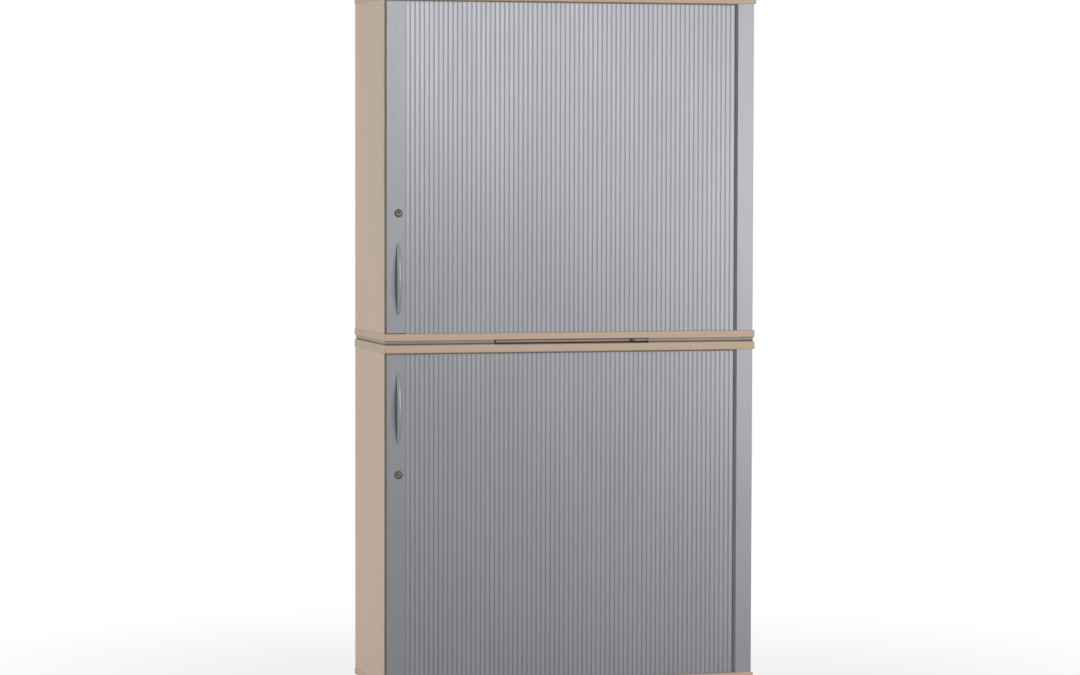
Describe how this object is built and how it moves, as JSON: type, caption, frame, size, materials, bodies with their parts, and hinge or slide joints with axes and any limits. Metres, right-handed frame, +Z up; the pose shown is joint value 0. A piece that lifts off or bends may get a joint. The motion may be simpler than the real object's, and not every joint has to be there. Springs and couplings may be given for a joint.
{
  "type": "tambour door cabinet",
  "caption": "Tall office cupboard stack: beech carcasses with side-sliding silver tambour doors, bow pulls, locks, shelves, a metal stacking frame with a pull-out shelf, and levelling feet.",
  "frame": {"origin": "on the floor, under the middle of the whole box", "axes": "+Z up, the doors face -Y, +X to the right as seen from the front"},
  "size_m": [1.2, 0.449, 2.188],
  "materials": {
    "beech_board": "light beech melamine, satin",
    "back_board": "thin beech-faced board",
    "silver_slats": "silver-grey moulded slats, satin",
    "silver_profile": "anodised silver, satin",
    "silver_handle": "silver-coated casting",
    "nickel": "dark nickel plating",
    "plated_steel": "zinc plating",
    "frame_coat": "grey metallic powder coat",
    "grey_plastic": "light grey moulding",
    "dark_plastic": "dark moulding"
  },
  "bodies": {
    "carcass": {"foot_sockets": "dark_plastic", "frame_back_bar": "frame_coat", "frame_end_caps": "frame_coat", "frame_front_left_bar": "frame_coat", "frame_front_right_bar": "frame_coat", "frame_left_bar": "frame_coat", "frame_right_bar": "frame_coat", "jamb_brushes": "dark_plastic", "lower_back_panel": "back_board", "lower_bottom_panel": "beech_board", "lower_bottom_track": "dark_plastic", "lower_corner_cove": "grey_plastic", "lower_high_shelf": "beech_board", "lower_inner_back": "back_board", "lower_jamb_post": "silver_profile", "lower_left_side_panel": "beech_board", "lower_low_shelf": "beech_board", "lower_pocket_partition": "beech_board", "lower_right_side_panel": "beech_board", "lower_shelf_brackets": "plated_steel", "lower_strike_plate": "plated_steel", "lower_top_panel": "beech_board", "lower_top_track": "dark_plastic", "pullout_runners": "frame_coat", "stacking_tabs": "plated_steel", "upper_back_panel": "back_board", "upper_bottom_panel": "beech_board", "upper_bottom_track": "dark_plastic", "upper_corner_cove": "grey_plastic", "upper_high_shelf": "beech_board", "upper_inner_back": "back_board", "upper_jamb_post": "silver_profile", "upper_left_side_panel": "beech_board", "upper_low_shelf": "beech_board", "upper_pocket_partition": "beech_board", "upper_right_side_panel": "beech_board", "upper_shelf_brackets": "plated_steel", "upper_strike_plate": "plated_steel", "upper_top_panel": "beech_board", "upper_top_track": "dark_plastic"},
    "upper_door": {"upper_lead_rail": "silver_profile", "upper_rail_guides": "dark_plastic", "upper_pull_handle": "silver_handle", "upper_lock_housing": "nickel", "upper_tambour_slats": "silver_slats"},
    "upper_lock": {"upper_lock_plug": "nickel", "upper_lock_cam": "plated_steel"},
    "lower_door": {"lower_lead_rail": "silver_profile", "lower_rail_guides": "dark_plastic", "lower_pull_handle": "silver_handle", "lower_lock_housing": "nickel", "lower_tambour_slats": "silver_slats"},
    "lower_lock": {"lower_lock_plug": "nickel", "lower_lock_cam": "plated_steel"},
    "pullout": {"pullout_shelf": "beech_board", "pullout_lip": "grey_plastic"},
    "front_left_foot": {"front_left_foot": "dark_plastic"},
    "front_right_foot": {"front_right_foot": "dark_plastic"},
    "back_left_foot": {"back_left_foot": "dark_plastic"},
    "back_right_foot": {"back_right_foot": "dark_plastic"}
  },
  "joints": [
    {"name": "upper_door_slide", "type": "slide", "parent": "carcass", "child": "upper_door", "axis": [1, 0, 0], "range_m": [0, 1.065], "deforming": ["upper_tambour_slats"]},
    {"name": "upper_lock_turn", "type": "hinge", "parent": "upper_door", "child": "upper_lock", "pos_m": [-0.556, -0.19, 1.507], "axis": [0, -1, 0], "range_deg": [0, 90]},
    {"name": "lower_door_slide", "type": "slide", "parent": "carcass", "child": "lower_door", "axis": [1, 0, 0], "range_m": [0, 1.065], "deforming": ["lower_tambour_slats"]},
    {"name": "lower_lock_turn", "type": "hinge", "parent": "lower_door", "child": "lower_lock", "pos_m": [-0.556, -0.19, 0.699], "axis": [0, -1, 0], "range_deg": [0, 90]},
    {"name": "pullout_slide", "type": "slide", "parent": "carcass", "child": "pullout", "axis": [0, -1, 0], "range_m": [0, 0.24]},
    {"name": "front_left_foot_turn", "type": "hinge", "parent": "carcass", "child": "front_left_foot", "pos_m": [-0.54, -0.1455, 0.012], "axis": [0, 0, 1], "continuous": true},
    {"name": "front_right_foot_turn", "type": "hinge", "parent": "carcass", "child": "front_right_foot", "pos_m": [0.54, -0.1455, 0.012], "axis": [0, 0, 1], "continuous": true},
    {"name": "back_left_foot_turn", "type": "hinge", "parent": "carcass", "child": "back_left_foot", "pos_m": [-0.54, 0.1645, 0.012], "axis": [0, 0, 1], "continuous": true},
    {"name": "back_right_foot_turn", "type": "hinge", "parent": "carcass", "child": "back_right_foot", "pos_m": [0.54, 0.1645, 0.012], "axis": [0, 0, 1], "continuous": true}
  ]
}
